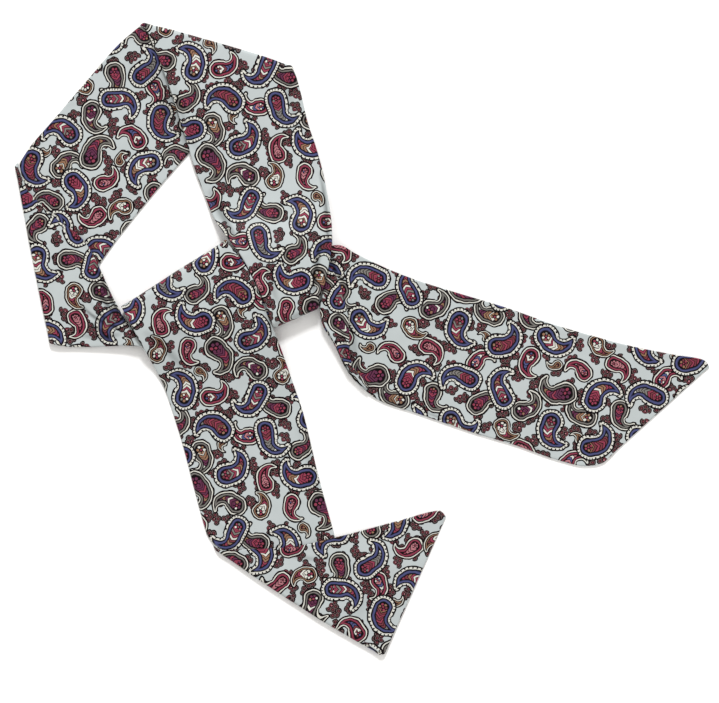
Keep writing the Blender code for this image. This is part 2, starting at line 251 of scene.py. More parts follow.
# A paisley's outline: the radius of its round head, what it is printed in, and then in those
# radii: where its neck starts to bend, the bend's radius, how long it is from the head's middle
# along the bend, how thick its tip is, how late it narrows, and where its middle is
Outline = namedtuple("Outline", "head dress neck bend reach tip late middle_x middle_y")
BLUE, CRIMSON, GREY, TAN = range(4)
OUTLINES = {
    "blue": Outline(7.0, BLUE, 0.35, 1.00, 2.70, 0.33, 2.0, 0.42, 0.72),
    "long": Outline(6.6, BLUE, 0.95, 0.92, 3.10, 0.33, 1.8, 0.38, 0.95),
    "crimson": Outline(5.3, CRIMSON, 0.60, 0.95, 2.75, 0.26, 1.3, 0.40, 0.85),
    "grey": Outline(6.1, GREY, 0.65, 0.85, 2.80, 0.26, 1.2, 0.38, 0.80),
    "drop": Outline(3.2, TAN, 0.30, 1.00, 2.35, 0.28, 1.1, 0.35, 0.70),
}

# The repeat, charted: outline, middle, turn in degrees, hand and size, from the lowest
Motif = namedtuple("Motif", "kind u v turn hand size")
REPEAT = (77.0, 72.0)
SEED_STEP = 3.7  # sets the chances of one motif's small colours apart from the next one's
CHART = (
    Motif("grey", 66, 10, 330, 1, 1.06),
    Motif("crimson", 29, 8, 15, -1, 1.05),
    Motif("grey", 10, 28, 130, -1, 1.06),
    Motif("crimson", 49, 25, 190, 1, 1.10),
    Motif("grey", 29, 44, 215, 1, 0.98),
    Motif("crimson", 68, 44, 80, 1, 1.00),
    Motif("grey", 49, 65, 0, -1, 1.06),
    Motif("crimson", 8, 62, 300, -1, 1.05),
    Motif("drop", 69, 62, 240, 1, 1.70),
    Motif("drop", 20, 18, 60, 1, 1.00),
    Motif("drop", 58, 35, 170, -1, 1.05),
    Motif("grey", 69, 26, 150, -1, 1.19),
    Motif("blue", 9, 9, 200, 1, 1.07),
    Motif("long", 48, 6, 75, -1, 1.07),
    Motif("blue", 30, 25, 320, 1, 1.07),
    Motif("blue", 11, 45, 30, -1, 1.07),
    Motif("blue", 49, 45, 255, 1, 1.07),
    Motif("long", 28, 62, 110, 1, 1.07),
)

# A scatter of berry clusters: its squares and their shift in shares of one, how far a cluster
# reaches from its middle, how many berries fit round it and how many grow, how far out and how
# big each is, and the share of squares that hold one
Scatter = namedtuple("Scatter", "pitch shift reach places grown out size share")
SCATTERS = (
    Scatter(10.2, 0.0, 4.05, 5, 3, 2.15, 1.90, 0.80),
    Scatter(11.4, 0.5, 4.25, 6, 4, 2.35, 1.85, 0.68),
)

# A berry's colours in from its edge: where its brown band, a dark line and the fruit start
Berry = namedtuple("Berry", "brown line fruit")
BERRY = Berry(0.60, 1.02, 1.38)
BROWN_SHARE = 0.35  # the brown is this much of the maroon and as much of the grey

# The round eye in a cluster's middle, which is rose: where a dark line, a maroon band and the
# outline start, and its edge
Eye = namedtuple("Eye", "line band outline edge")
EYE = Eye(0.5, 0.9, 1.4, 1.75)
BERRY_SPAN = 4.0  # more than any of those
BERRY_TURN = 19.0  # radians from the least chance's turn of a cluster to the greatest's

DRAWN = 1.1  # how far the drawn lines wander from their true place
DRAWN_PACE = 0.22  # how quickly, as a noise's scale

# Where each print's bands start, in from its edge: the outline, the white band, a line, the
# colour, a line and the core
Bands = namedtuple("Bands", "white line colour inner core")
BANDS = (
    Bands(0.85, 2.05, 2.80, 4.10, 4.75),
    Bands(0.85, 1.45, 1.95, 3.00, 3.65),
    Bands(0.90, 1.50, 2.15, 3.05, 3.70),
    Bands(0.80, 1.25, 1.75, 2.35, 2.80),
)
BANDS_SPAN = 8.0  # more than any motif's depth

# How dark a colour is along both sides of its band, and how much of the band each side takes
SHADED = 0.55
RIM_SHARE = 0.30

# The ticks across the outer part of a blue paisley's white band: the share of their pitch that
# each takes, and its middle and half its length, in from the edge
Tick = namedtuple("Tick", "share middle half")
TICK = Tick(0.34, 1.15, 0.55)

# How far the edge travels past the body's middle line, inside its bend and outside
INSIDE_BEND = 0.62
OUTSIDE_BEND = 1.45

# The flower in a core, in shares of the core's radius: its petals, how far out they stand, how
# big they and the dark heart are, and the heart's crimson middle
Flower = namedtuple("Flower", "petals out petal heart middle")
FLOWER = Flower(6, 0.64, 0.25, 0.32, 0.2)

# The chevrons down a core's tail: their pitch, their slant, and the share of them that is line
Chevron = namedtuple("Chevron", "pitch slant line")
CHEVRON = Chevron(1.6, 0.8, 0.3)

# The small colours of each print's cores, and where each starts in a chance from nought to one
Dab = namedtuple("Dab", "start tint")
DABS = (
    (Dab(0.0, "white"), Dab(0.20, "crimson"), Dab(0.48, "tan"), Dab(0.66, "maroon"), Dab(0.86, "grey")),
    (Dab(0.0, "rose"), Dab(0.28, "maroon"), Dab(0.52, "white"), Dab(0.68, "crimson"), Dab(0.86, "blue")),
    (Dab(0.0, "plum"), Dab(0.34, "crimson"), Dab(0.54, "tan"), Dab(0.68, "white"), Dab(0.82, "plum")),
    (Dab(0.0, "maroon"), Dab(0.36, "crimson"), Dab(0.66, "white"), Dab(0.80, "tan")),
)

DRAPE_SHADE_PACE = 0.09  # how quickly the painted drape shade and sheen change, in slow random patches, as a noise's scale
DRAPE_SHADE_DEPTH = 0.06  # how much lighter or darker that painted shade and sheen make the colour
CREASE_SHADE = 0.6  # share of its colour that a tight crease loses as painted shade
THREAD = 0.26  # space between the fine threads
THREAD_SHARE = 0.35  # their part in the weave, where the slanting lines' is one
WEAVE_DEPTH = 0.04  # how far its threads stand out
WEAVE_BUMP = 0.12  # how strongly that shows
ROUGHNESS = (0.40, 0.52)  # in the weave's hollows and on its threads
GLOSS = {"Specular IOR Level": 0.10, "Sheen Weight": 0.03, "Sheen Roughness": 0.35}

# ---------------------------------------------------------------- the stage

KEY_PLACE = (0.0, 2.85, 2.25)  # metres; the light faces the origin
FLOOR_REACH = 3.0  # metres from the origin to each side
FLOOR_ROUGHNESS = 0.9
FAR_SIGHT = 20.0  # metres
LOOKED_AT = (-1.4, -7.0, 2.0)  # the point that the camera is straight above

# ---------------------------------------------------------------- sizes and colours


def colour(name, description, red, green, blue):
    """A colour property from its values on a 0 to 255 screen scale."""
    screen = np.array((red, green, blue)) / 255
    linear = np.where(screen <= 0.04045, screen / 12.92, ((screen + 0.055) / 1.055) ** 2.4)
    return bpy.props.FloatVectorProperty(
        name=name,
        description=description,
        subtype="COLOR",
        size=3,
        min=0.0,
        max=1.0,
        default=tuple(float(part) for part in linear),
    )


def length(name, description, default):
    """A length property, given in millimetres and kept in metres."""
    return bpy.props.FloatProperty(
        name=name, description=description, default=default * MM, min=0.0, unit="LENGTH"
    )


def amount(name, description, default, unit="NONE"):
    """A property that is a number of its own unit, or of none."""
    return bpy.props.FloatProperty(
        name=name, description=description, default=default, min=0.0, unit=unit
    )


class ScarfCloth(bpy.types.PropertyGroup):
    """The silk tube's own sizes."""

    wall: length("Ply", "Thickness of one ply of the silk", 0.3)
    pressed: length("Pressed", "How much thinner the tube is between its rolled edges", 0.3)
    pitch: length("Pitch", "Space between points on the cloth", 1.2)
    swell: length("Swell", "Height of the slow swells in the pressed cloth", 0.16)
    pucker: length("Pucker", "Height of the small ripples along its edges", 0.14)
    crease: amount("Creases", "Share of the creases' full depth", 1.0)


class ScarfPrint(bpy.types.PropertyGroup):
    """The printed paisley and the twill under it."""

    turn: bpy.props.FloatProperty(
        name="Turn",
        description="Angle of the print's repeat to the scarf's length",
        default=np.radians(31.0),
        subtype="ANGLE",
    )
    tick: length("Tick", "Space between the ticks round a blue paisley", 2.05)
    twill: length("Twill", "Space between the weave's slanting lines", 0.45)
    ground: colour("Ground", "The cloth's pale ground", 178, 185, 186)
    white: colour("White", "Bands round the paisleys", 205, 204, 196)
    ink: colour("Ink", "Outlines and ticks", 8, 1, 4)
    blue: colour("Blue", "The large paisleys", 74, 78, 120)
    crimson: colour("Crimson", "The red paisleys and flowers", 136, 56, 76)
    grey: colour("Grey", "The grey paisleys", 118, 115, 111)
    tan: colour("Tan", "The small drops, and flecks in the paisleys", 138, 104, 82)
    maroon: colour("Maroon", "The berries", 108, 52, 60)
    rose: colour("Rose", "Flecks in the red paisleys, and the berries' eyes", 168, 110, 118)
    plum: colour("Plum", "Flecks in the grey paisleys", 92, 44, 70)


class ScarfStage(bpy.types.PropertyGroup):
    """The floor, the light and the camera."""

    floor: colour("Floor", "The plain pale floor", 253, 253, 253)
    key: amount("Key", "Power of the key light", 97.0, "POWER")
    key_size: length("Key Size", "Width of the key light's square face", 560.0)
    sky: colour("Sky", "Colour of the light from all round", 255, 253, 250)
    fill: amount("Fill", "Strength of the light from all round", 0.80)
    lens: amount("Lens", "Focal length", 100.0, "CAMERA")
    width: length("Width", "Width that the camera takes in", 402.6)


# Under the name that the scene keeps each by
GROUPS = {"scarf_cloth": ScarfCloth, "scarf_print": ScarfPrint, "scarf_stage": ScarfStage}

# ---------------------------------------------------------------- cloth


def run_of(points):
    """How far along a line of points each one lies."""
    return np.concatenate(([0.0], np.cumsum(np.linalg.norm(np.diff(points, axis=0), axis=1))))


def middles(rulings):
    """The middle of each ruling."""
    return (rulings[:, 0:3] + rulings[:, 3:6]) / 2


def rows_at(wanted, places, rows):
    """A table's rows at the wanted places, on straight lines between its own."""
    return np.stack([np.interp(wanted, places, column) for column in rows.T], axis=1)


def slopes(values, places):
    """Slopes for a cubic that never passes the values it joins: the harmonic mean of the
    slopes on both sides, or none where they differ in sign."""
    step = np.diff(places)[:, None]
    rise = np.diff(values, axis=0) / step
    before, after = rise[:-1], rise[1:]
    same = before * after > 0
    total = np.where(same, before + after, 1.0)
    middle = np.where(same, 2 * before * after / total, 0.0)
    return np.vstack((rise[:1], middle, rise[-1:]))


def smooth(table, pitch):
    """Rulings at an even pitch on smooth curves through the table's rows: the cubic with each
    row's value and slope, over the distance that the cloth's middle travels."""
    rows = np.array(table, dtype=float)
    places = run_of(middles(rows))
    slope = slopes(rows, places)
    wanted = np.linspace(0.0, places[-1], int(np.ceil(places[-1] / pitch)) + 1)
    row = np.clip(np.searchsorted(places, wanted, side="right") - 1, 0, len(rows) - 2)
    span = (places[row + 1] - places[row])[:, None]
    share = (wanted - places[row])[:, None] / span
    rest = 1 - share
    return (
        rows[row] * (1 + 2 * share) * rest**2
        + rows[row + 1] * (3 - 2 * share) * share**2
        + span * (slope[row] * share * rest**2 - slope[row + 1] * rest * share**2)
    )


def round_fold(fold, into=True):
    """Rulings round half an ellipse along the fold line, from the height that is left to the
    height that is met, bowed out by a cubed sine. The cloth comes into the fold from the left
    of the line's run when into is true, and otherwise starts in it."""
    left = np.array((fold.lx, fold.ly))
    right = np.array((fold.rx, fold.ry))
    along = (right - left) / np.linalg.norm(right - left)
    outward = np.array((-along[1], along[0])) * (1 if into else -1)
    angle = np.linspace(0, np.pi, FOLD_ROWS)[:, None]
    out = (fold.bulge - TUBE / 2) * np.sin(angle) - fold.bulge
    fall = (1 - np.cos(angle)) / 2
    left_xy = left + outward * out + along * fold.slide_l * np.cos(angle)
    right_xy = right + outward * out + along * fold.slide_r * np.cos(angle)
    left_z = fold.from_l + (fold.to_l - fold.from_l) * fall
    right_z = fold.from_r + (fold.to_r - fold.from_r) * fall
    return np.hstack((left_xy, left_z, right_xy, right_z, fold.bow * np.sin(angle) ** 3))


def sewn(rulings):
    """The rulings with closer ones at their start, for a sewn end, and how thick the tube is
    at each: a quarter round that rises from nought to full."""
    turn = np.linspace(0, np.pi / 2, SEWN.rows)
    far = run_of(middles(rulings))
    wanted = np.concatenate((SEWN.depth * (1 - np.cos(turn)), far[far > SEWN.depth * SEWN.clear]))
    fullness = np.ones(len(wanted))
    fullness[: SEWN.rows] = np.sin(turn)
    return rows_at(wanted, far, rulings), fullness


def drawn_in(rulings):
    """The inner skin's rulings at a sewn start, each drawn in by a share of the way to the
    first full one, so that they stay inside the outer skin's."""
    share = np.zeros((len(rulings), 1))
    share[: SEWN.rows] = SEWN.others
    share[0] = SEWN.closing
    return rulings * (1 - share) + rulings[SEWN.rows] * share


def unroll(rulings):
    """Where the cloth's middle line and each ruling lie when the stretch is laid out flat, as
    complex numbers: each ruling turns by the difference of the angles that the step between
    two rulings makes with them."""
    across = rulings[:, 3:6] - rulings[:, 0:3]
    width = np.linalg.norm(across, axis=1)
    across /= width[:, None]
    step = np.diff(middles(rulings), axis=0)
    far = np.linalg.norm(step, axis=1)
    way = step / far[:, None]
    leave = np.arccos(np.clip((across[:-1] * way).sum(1), -1, 1))
    meet = np.arccos(np.clip((across[1:] * way).sum(1), -1, 1))
    turn = np.concatenate(([0.0], np.cumsum(leave - meet)))
    place = np.concatenate(([0.0], np.cumsum(far * np.exp(1j * (turn[:-1] + leave)))))
    left_edge = place - np.exp(1j * turn) * width / 2
    heading = np.angle(left_edge[-1] - left_edge[0])
    return place * np.exp(-1j * heading), np.exp(1j * (turn - heading)), width


def swells(x, y, height):
    """Slow uneven swells: the sum of a few sine waves in different directions."""
    total = np.zeros_like(x)
    for swell in SWELLS:
        total += swell.share * np.sin(2 * np.pi * MM * (swell.right * x + swell.away * y) + swell.turn)
    return total * height / SWELL_USUAL


def ripples(travel):
    """Small uneven ripples as the cloth runs on: a sine whose pace wavers and whose height
    comes and goes, both by slower sines."""
    wave = np.sin(travel / RIPPLE.run + RIPPLE.waver * np.sin(travel / RIPPLE.waver_run))
    return wave * (1 - RIPPLE.fade + RIPPLE.fade * np.sin(travel / RIPPLE.fade_run))


def creased(x, y, creases):
    """Height that the creases add: a bell across each one's line, steeper on its left, which
    fades along it as a power of a half sine."""
    total = np.zeros_like(x)
    for crease in creases:
        run = np.array((crease.to_x - crease.from_x, crease.to_y - crease.from_y))
        size = np.hypot(*run)
        away_x, away_y = x - crease.from_x, y - crease.from_y
        share = np.clip((away_x * run[0] + away_y * run[1]) / size**2, 0, 1)
        side = (run[0] * away_y - run[1] * away_x) / size - crease.bow * 4 * share * (1 - share)
        past = np.hypot(away_x - share * run[0], away_y - share * run[1])
        off = np.where((share > 0) & (share < 1), np.abs(side), past)
        width = crease.width * np.where(side > 0, 1 - crease.steep, 1.0)
        total += crease.height * np.exp(-((off / width) ** 2)) * np.sin(np.pi * share) ** CREASE_FADE
    return total


def painted_crease_shade(x, y, creases):
    """Painted shade in the creases, from nought to one: the troughs' depth, less in wide ones."""
    troughs = [
        crease._replace(height=crease.height * min(1.0, TIGHT / crease.width))
        for crease in creases
        if crease.height < 0
    ]
    return np.clip(-creased(x, y, troughs), 0, 1)


def ring_columns(pitch):
    """The pressed tube's outline: half a circle round each edge and straight plies between."""
    roll = np.radians(np.linspace(-90, 90, ROLL_POINTS))
    span = np.linspace(0, 1, int(CUT_WIDTH / 2 / pitch) + 1)[1:-1]
    none = np.zeros(len(span))
    at_roll = np.zeros(ROLL_POINTS)
    ply = np.concatenate((at_roll, none + 1, at_roll, none - 1))
    ply[ROLL_POINTS - 1] = ply[ROLL_POINTS + len(span)] = 1
    return Columns(
        np.concatenate((at_roll, span, at_roll + 1, span[::-1])),
        np.concatenate((-np.cos(roll), none, np.cos(roll), none)),
        np.concatenate((np.sin(roll), none + 1, np.sin(roll[::-1]), none - 1)),
        np.concatenate((np.pi / 2 - roll, none, np.pi / 2 - roll[::-1], none + np.pi)),
        ply,
    )


def pressed_shape(flat, from_edge, creases, sizes):
    """How far the upper ply stands off the even tube: pressed in between the rolled edges, with
    the swells, ripples and creases. A trough deepens ever more slowly (a hyperbolic tangent)
    and stops short of the ply below."""
    x, y = flat[..., 0], flat[..., 1]
    travel = np.cumsum(np.linalg.norm(np.gradient(flat, axis=0), axis=2), axis=0)
    fading = np.exp(-((from_edge / RIPPLES_OUT) ** 2)) * np.minimum(from_edge / RIPPLES_IN, 1)
    shaped = swells(x, y, sizes.swell / MM) * np.minimum(from_edge / SWELLS_IN, 1)
    shaped += ripples(travel) * sizes.pucker / MM * fading
    shaped += creased(x, y, creases) * sizes.crease
    shaped -= sizes.pressed / MM * (1 - np.exp(-((from_edge / PRESSED_IN) ** 2)))
    room = TUBE - 2 * sizes.wall / MM
    return np.where(shaped < 0, room * np.tanh(shaped / room), shaped)


def skin(rulings, fullness, columns, creases, sizes, inset):
    """Points of one skin of the tube. A point stands on its ruling at its share across, moved
    out round the rolled edge, off the ruling by half the tube, and up by the crown's parabola.
    The upper ply takes the pressed shape, and the lower one a share of it."""
    left, right, crown = rulings[:, 0:3], rulings[:, 3:6], rulings[:, 6]
    width = np.linalg.norm(right - left, axis=1)
    across = (right - left) / width[:, None]
    half = TUBE / 2 * fullness
    edge = (half / width)[:, None]
    share = (edge + (1 - 2 * edge) * columns.across)[..., None]
    run = np.gradient(left, axis=0)[:, None] * (1 - share) + np.gradient(right, axis=0)[:, None] * share
    up = np.cross(np.broadcast_to(across[:, None], run.shape), run)
    up /= np.maximum(np.linalg.norm(up, axis=2, keepdims=True), 1e-9)
    flat = left[:, None] + (right - left)[:, None] * share
    share = share[..., 0]
    shaped = pressed_shape(flat, np.minimum(share, 1 - share) * width[:, None], creases, sizes)
    clear = np.clip((flat[..., 2] - OVER) / KNOT * CLEAR_SHARE, 0, 1)
    plies = np.where(columns.ply > 0, 1.0, np.where(columns.ply < 0, clear, 0.0))
    reach = half[:, None] - inset * fullness[:, None]
    height = reach * columns.lift + plies * shaped * fullness[:, None]
    height += crown[:, None] * 4 * share * (1 - share)
    return flat + across[:, None] * (columns.out * reach)[..., None] + up * height[..., None]


def print_places(rulings, columns, start):
    """The cloth's own coordinates for each ring point, in metres: where it lies when the
    stretch is unrolled, going on round the left edge to the lower ply. A second set gives
    those of the next point round, and serves the seam along the right edge."""
    place, way, width = unroll(rulings)
    flat = place[:, None] + way[:, None] * (columns.across - 0.5) * width[:, None]
    along, over = flat.real, flat.imag
    rounded = columns.turned * TUBE / 2
    rounded = np.where(columns.across == 0, over + rounded, over - rounded)
    left_v = over[:, :1]
    under = left_v + np.pi * TUBE / 2 + (left_v - over)
    v = np.where(columns.ply > 0, over, np.where(columns.ply < 0, under, rounded))
    here = np.stack((along, v), axis=2) + np.array(start)
    ahead = np.roll(here, -1, axis=1)
    seam = np.flatnonzero((columns.across == 1) & (columns.ply == 0))[-1]
    ahead[:, seam] = here[:, seam] + (0.0, -1.0)
    return here * MM, ahead * MM


def tube(name, rulings, creases, sizes, start, sewn_at):
    """One stretch as a tube with an outer and an inner skin. The rows of both skins make one
    loop: forward along the outer skin, over the rim, and back along the inner one. A sewn
    start or end closes each skin on a line of its own."""
    fullness, within = np.ones(len(rulings)), rulings
    if sewn_at:
        way = 1 if sewn_at == "start" else -1
        rulings, fullness = sewn(rulings[::way])
        within = drawn_in(rulings)[::way]
        rulings, fullness = rulings[::way], fullness[::way]
    columns = ring_columns(sizes.pitch / MM)
    outer = skin(rulings, fullness, columns, creases, sizes, 0.0)
    inner = skin(within, fullness, columns, creases, sizes, sizes.wall / MM)
    points = np.concatenate((outer, inner[::-1]))
    here, ahead = print_places(rulings, columns, start)
    here = np.concatenate((here, here[::-1]))
    ahead = np.concatenate((ahead, ahead[::-1]))
    rows, count = points.shape[:2]
    rims = {"start": rows - 1, "end": rows // 2 - 1}
    near = np.array([row for row in range(rows) if row != rims.get(sewn_at)])[:, None]
    far = (near + 1) % rows
    j = np.arange(count)
    k = (j + 1) % count
    faces = np.stack((near * count + j, near * count + k, far * count + k, far * count + j), axis=2)
    places = np.stack((here[near, j], ahead[near, j], ahead[far, j], here[far, j]), axis=2)
    # painted shade for the tight creases, from nought to one, kept on the points
    depth = painted_crease_shade(points[..., 0], points[..., 1], creases)
    return piece(name, points.reshape(-1, 3), faces.reshape(-1, 4), places, depth)


def piece(name, points, faces, places, depth=None):
    """A mesh object from points in millimetres, four-cornered faces and the cloth's own coordinates at
    each face's corners, with its doubles merged. The share of painted crease shade at each point may go
    with them."""
    mesh = bpy.data.meshes.new(name)
    mesh.vertices.add(len(points))
    mesh.vertices.foreach_set("co", (points * MM).astype(np.float32).ravel())
    mesh.loops.add(faces.size)
    mesh.loops.foreach_set("vertex_index", faces.astype(np.int32).ravel())
    mesh.polygons.add(len(faces))
    mesh.polygons.foreach_set("loop_start", np.arange(len(faces), dtype=np.int32) * 4)
    layer = mesh.uv_layers.new(name=PRINT_MAP)
    layer.data.foreach_set("uv", places.astype(np.float32).ravel())
    if depth is not None:
        # keeps the painted crease shade on the points
        kept = mesh.attributes.new(CREASE_SHADE_ATTRIBUTE, "FLOAT", "POINT")
        kept.data.foreach_set("value", depth.astype(np.float32).ravel())
    mesh.update(calc_edges=True)
    mesh.validate()
    shape = bmesh.new()
    shape.from_mesh(mesh)
    bmesh.ops.remove_doubles(shape, verts=shape.verts, dist=WELD)
    shape.to_mesh(mesh)
    shape.free()
    mesh.shade_smooth()
    made = bpy.data.objects.new(name, mesh)
    bpy.context.scene.collection.objects.link(made)
    return made


# ---------------------------------------------------------------- material


class Wire:
    """One output of a node. A sum, product, power or comparison of wires adds the node that
    works it out; a comparison is one where it holds and nought elsewhere."""

    def __init__(self, graph, socket):
        self.graph = graph
        self.socket = socket

    def math(self, operation, *others):
        """A math node on this wire and others, or a vector math node where this is a vector."""
        is_vector = self.socket.type != "VALUE"
        kind = "ShaderNodeVectorMath" if is_vector else "ShaderNodeMath"
        wanted = "Vector" if is_vector and operation != "LENGTH" else "Value"
        return self.graph.node(kind, dict(enumerate((self, *others))), wanted, operation=operation)

    def __add__(self, other):
        return self.math("ADD", other)

    def __sub__(self, other):
        return self.math("SUBTRACT", other)

    def __mul__(self, other):
        if self.socket.type == "VALUE" or isinstance(other, tuple):
            return self.math("MULTIPLY", other)
        scaled = {"Vector": self, "Scale": other}
        return self.graph.node("ShaderNodeVectorMath", scaled, "Vector", operation="SCALE")

    def __truediv__(self, other):
        return self.math("DIVIDE", other)

    def __pow__(self, other):
        return self.math("POWER", other)

    def __neg__(self):
        return self * -1.0

    def __lt__(self, other):
        return self.math("LESS_THAN", other)

    def __gt__(self, other):
        return self.math("GREATER_THAN", other)

    def parts(self):
        return self.graph.node("ShaderNodeSeparateXYZ", {"Vector": self}, "X", "Y", "Z")


class Graph:
    """Adds nodes to a material's tree and joins them up."""

    def __init__(self, tree):
        self.tree = tree

    def put(self, socket, value):
        """Joins a wire to a socket, or sets its value; a colour may come as three numbers."""
        if isinstance(value, Wire):
            self.tree.links.new(value.socket, socket)
        elif socket.type == "RGBA" and len(value) == 3:
            socket.default_value = (*value, 1.0)
        else:
            socket.default_value = value

    def node(self, kind, inputs, *wanted, **settings):
        """Adds a node, and gives a wire from its first output or from each that is wanted."""
        made = self.tree.nodes.new(kind)
        for name, value in settings.items():
            setattr(made, name, value)
        for name, value in inputs.items():
            self.put(made.inputs[name], value)
        wires = [Wire(self, made.outputs[name]) for name in wanted or (0,)]
        return wires if len(wires) > 1 else wires[0]

    def mix(self, kind, share, first, second):
        """Mixes two values of one kind: FLOAT, VECTOR or RGBA."""
        a, b, made = {"FLOAT": (2, 3, 0), "VECTOR": (4, 5, 1), "RGBA": (6, 7, 2)}[kind]
        return self.node("ShaderNodeMix", {0: share, a: first, b: second}, made, data_type=kind)

    def join(self, x, y, z=0.0):
        return self.node("ShaderNodeCombineXYZ", {"X": x, "Y": y, "Z": z})

    def bands(self, place, span, stops):
        """Flat bands of colour from each stop's place to the next, and where the last stop
        isn't reached."""
        drawn, before_last = self.node("ShaderNodeValToRGB", {"Fac": place / span}, "Color", "Alpha")
        ramp = drawn.socket.node.color_ramp
        ramp.interpolation = "CONSTANT"
        for index, (at, tint) in enumerate(stops):
            element = ramp.elements[index] if index < 2 else ramp.elements.new(at / span)
            element.position = at / span
            element.color = (*tint, 0.0 if index == len(stops) - 1 else 1.0)
        return drawn, before_last


def paisley(graph, place, motif):
    """One motif of the repeat. The cloth's place is wrapped round the motif's middle and turned
    into the motif's own axes, in radii of its head. Past the neck it is measured round the
    bend: across the bend by distance from its middle, along by angle. The edge is where the
    distance from that line is the body's radius there, which narrows by a power of how far
    along it is. Gives how far across, along and outside the edge the place is, in millimetres,
    and whether it is inside."""
    form = OUTLINES[motif.kind]
    head = form.head * motif.size
    turn = np.radians(motif.turn)
    back = head * complex(form.middle_x * motif.hand, -form.middle_y) * np.exp(1j * turn)
    half_u, half_v = REPEAT[0] / 2, REPEAT[1] / 2
    most, least = (motif.u + half_u, motif.v + half_v, 1.0), (motif.u - half_u, motif.v - half_v, -1.0)
    own_axes = {
        "Vector": place.math("WRAP", most, least),
        "Location": (motif.u + back.real, motif.v + back.imag, 0.0),
        "Rotation": (0.0, 0.0, turn),
        "Scale": (head * motif.hand, head, 1.0),
    }
    own = graph.node("ShaderNodeMapping", own_axes, vector_type="TEXTURE")
    arm = own + (form.bend, -form.neck, 0.0)
    arm_x, arm_y, _ = arm.parts()
    bent = graph.join(
        arm.math("LENGTH") - form.bend,
        arm_y.math("ARCTAN2", arm_x) * form.bend + form.neck,
    )
    across, along, _ = graph.mix("VECTOR", arm_y > 0.0, own, bent).parts()
    kept = graph.node("ShaderNodeClamp", {"Value": along, "Min": 0.0, "Max": form.reach})
    body = (kept / form.reach) ** form.late * (form.tip - 1.0) + 1.0
    edge = graph.join(across, along - kept).math("LENGTH") - body
    return graph.join(across, along, edge) * head, edge < 0.0


def folded(graph, x, y, count, turned):
    """Folds the plane round a point into one of count equal slices, turned by an angle: the
    distance from the point, that along the slice's middle, that beside it, and the slice's
    number."""
    turn = (y.math("ARCTAN2", x) + turned) * (count / (2 * np.pi))
    number = turn.math("FLOOR")
    part = (turn - number - 0.5) * (2 * np.pi / count)
    off = graph.join(x, y).math("LENGTH")
    number = number.math("FLOORED_MODULO", float(count))
    return off, off * part.math("COSINE"), off * part.math("SINE"), number


def berries(graph, place, silk, scatter):
    """Clusters of berries, one in most squares of a grid and never over a square's side: round
    lobes with a dark outline and a dark ring, in a fan about a small round eye."""
    at = place * (1 / scatter.pitch) + (scatter.shift, scatter.shift, 0.0)
    square = at.math("FLOOR")
    noise = "ShaderNodeTexWhiteNoise"
    chance, chances = graph.node(noise, {"Vector": square}, "Value", "Color", noise_dimensions="2D")
    room = 0.5 - scatter.reach / scatter.pitch
    middle = chances * (2 * room) + (0.5 - room,) * 3
    x, y, _ = ((at - square - middle) * scatter.pitch).parts()
    off, out, beside, number = folded(graph, x, y, scatter.places, chance * BERRY_TURN)
    depth = -graph.join(out - scatter.out, beside).math("LENGTH") + scatter.size
    ink, maroon = silk.ink, silk.maroon
    brown = tuple(BROWN_SHARE * (one + other) for one, other in zip(maroon, silk.grey))
    berry = ((0.0, ink), (BERRY.brown, brown), (BERRY.line, ink), (BERRY.fruit, maroon))
    eye = ((0.0, silk.rose), (EYE.line, ink), (EYE.band, maroon), (EYE.outline, ink))
    berry, _ = graph.bands(depth, BERRY_SPAN, berry)
    eye, _ = graph.bands(off, BERRY_SPAN, eye)
    is_lobe = (depth > 0.0) * (number < scatter.grown - 0.5)
    inside = is_lobe.math("MAXIMUM", off < EYE.edge)
    return graph.mix("RGBA", is_lobe, eye, berry), inside * (chance < scatter.share)


def dabs(graph, number, dress, silk):
    """One of the small colours of a print's cores for each whole number: a chance between
    nought and one, plus the print's own number, is looked up in one row of colours."""
    chance = graph.node("ShaderNodeTexWhiteNoise", {"W": number}, noise_dimensions="1D")
    stops = [(row + dab.start, getattr(silk, dab.tint)) for row, few in enumerate(DABS) for dab in few]
    drawn, _ = graph.bands(chance + dress, float(len(DABS)), stops)
    return drawn


def core_flower(graph, across, along, seed, core, dress, silk):
    """A core: a flower fills the head, round petals about a dark heart, and chevrons that
    point to the tip go down the tail."""
    off, out, beside, number = folded(graph, across / core, along / core, FLOWER.petals, seed)
    tint = dabs(graph, number.math("PINGPONG", FLOWER.petals / 2) + seed, dress, silk)
    petal = graph.join(out - FLOWER.out, beside).math("LENGTH")
    flower = graph.mix("RGBA", petal < FLOWER.petal, silk.ink, tint)
    heart, _ = graph.bands(off, 1.0, ((0.0, silk.crimson), (FLOWER.middle, silk.ink)))
    flower = graph.mix("RGBA", off < FLOWER.heart, flower, heart)
    slanted = across.math("ABSOLUTE") * CHEVRON.slant + along
    row = slanted / CHEVRON.pitch
    tint = dabs(graph, row.math("FLOOR") + seed, dress, silk)
    chevron = graph.mix("RGBA", row.math("FRACT") < CHEVRON.line, tint, silk.ink)
    return graph.mix("RGBA", slanted > core, flower, chevron)


def dressed(graph, depth, dress, silk):
    """The bands inside a motif's edge, in its own dress, and whether they cover a place or
    leave it to the core."""
    drawn, covered = silk.ink, 0.0
    for number, tint in enumerate((silk.blue, silk.crimson, silk.grey, silk.tan)):
        band = BANDS[number]
        shaded = tuple(SHADED * part for part in tint)
        rim = (band.inner - band.colour) * RIM_SHARE
        stops = (
            (0.0, silk.ink),
            (band.white, silk.white),
            (band.line, silk.ink),
            (band.colour, shaded),
            (band.colour + rim, tint),
            (band.inner - rim, shaded),
            (band.inner, silk.ink),
            (band.core, silk.ink),
        )
        bands, before_core = graph.bands(depth, BANDS_SPAN, stops)
        in_dress = dress > number - 0.5
        drawn = graph.mix("RGBA", in_dress, drawn, bands)
        covered = graph.mix("FLOAT", in_dress, covered, before_core)
    return drawn, covered


